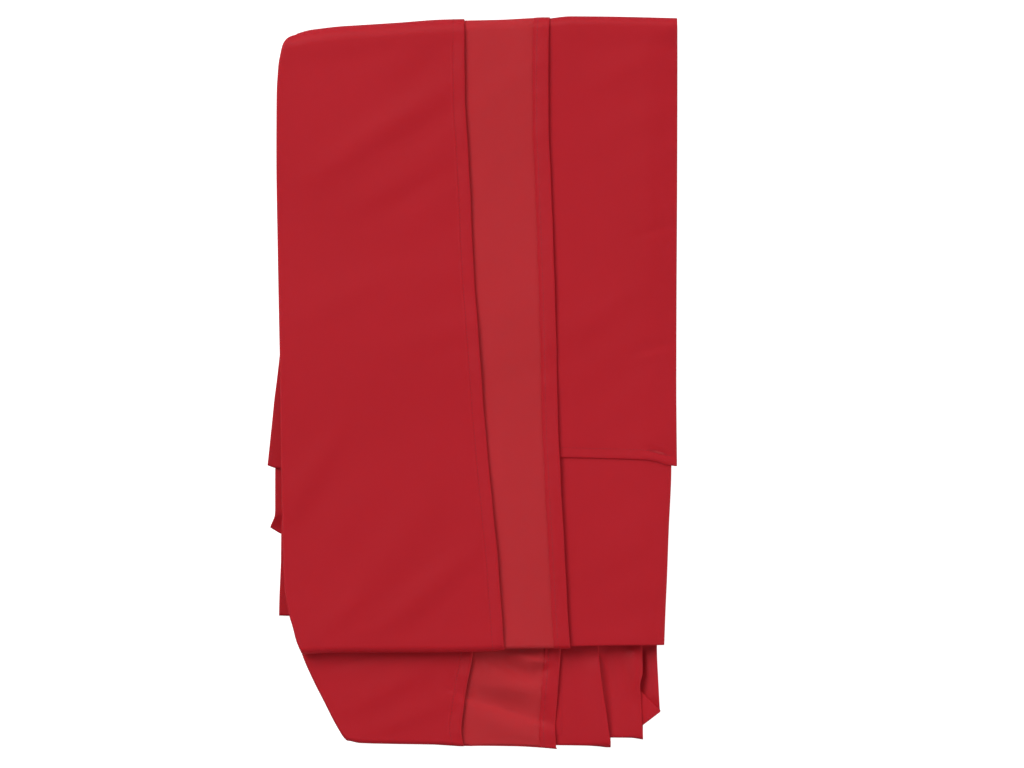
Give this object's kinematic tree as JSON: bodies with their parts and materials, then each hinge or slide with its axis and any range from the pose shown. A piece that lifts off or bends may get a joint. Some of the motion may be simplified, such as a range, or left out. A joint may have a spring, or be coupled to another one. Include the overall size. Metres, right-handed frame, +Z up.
{
  "type": "kayak spray skirt",
  "caption": "Spray skirt of coated cloth with turned, stitched hems, folded flat; the upper packet opens about the fold at the top edge.",
  "frame": {"origin": "middle of the bundle's footprint, on the surface that it lies on", "axes": "+Z up off the surface, +Y towards the fold that joins the two packets, +X towards the crease of the right end leaf"},
  "size_m": [0.3764, 0.6735, 0.0282],
  "materials": {
    "cloth_face": "satin coated weave",
    "cloth_reverse": "matt uncoated weave",
    "thread": "matt thread"
  },
  "bodies": {
    "base_packet": {"back_hem": "cloth_face", "back_inner_leaf": "cloth_face", "back_leaf": "cloth_face", "back_reverse_hem": "cloth_face", "back_reverse_leaf": "cloth_reverse", "back_right_leaf": "cloth_face", "end_fold_inner": "cloth_face", "end_fold_outer": "cloth_face", "left_tuck_lower": "cloth_face", "left_tuck_middle": "cloth_face", "left_tuck_upper": "cloth_face", "lower_front_hem": "cloth_face", "lower_front_leaf": "cloth_face", "lower_front_stitching": "thread", "lower_reverse_hem": "cloth_face", "lower_reverse_leaf": "cloth_reverse", "lower_reverse_stitching": "thread", "lower_side_crease": "cloth_face", "pleat_one": "cloth_face", "pleat_three": "cloth_face", "pleat_two": "cloth_face", "top_turn_front": "cloth_face", "top_turn_inner": "cloth_face", "top_turn_reverse": "cloth_face", "top_turn_right": "cloth_face", "tucked_end_leaf": "cloth_face", "turned_corner": "cloth_face"},
    "top_packet": {"bottom_fold_inner": "cloth_face", "bottom_fold_outer": "cloth_face", "front_leaf": "cloth_face", "front_leaf_hem": "cloth_face", "front_leaf_stitching": "thread", "reverse_leaf": "cloth_reverse", "reverse_leaf_hem": "cloth_face", "reverse_leaf_stitching": "thread", "right_crease": "cloth_face", "right_end_hem": "cloth_face", "right_end_leaf": "cloth_face", "right_end_stitching": "thread", "right_under_leaf": "cloth_face", "side_crease": "cloth_face", "turned_front_hem": "cloth_face", "turned_front_leaf": "cloth_face", "turned_front_stitching": "thread", "turned_reverse_hem": "cloth_face", "turned_reverse_leaf": "cloth_reverse", "turned_reverse_stitching": "thread", "turned_right_leaf": "cloth_face", "turned_side_crease": "cloth_face"}
  },
  "joints": [
    {"name": "top_fold", "type": "hinge", "parent": "base_packet", "child": "top_packet", "pos_m": [0, 0.33075, 0.0141], "axis": [-1, 0, 0], "range_deg": [0, 180], "deforming": ["top_turn_front", "top_turn_inner", "top_turn_reverse", "top_turn_right"]}
  ]
}
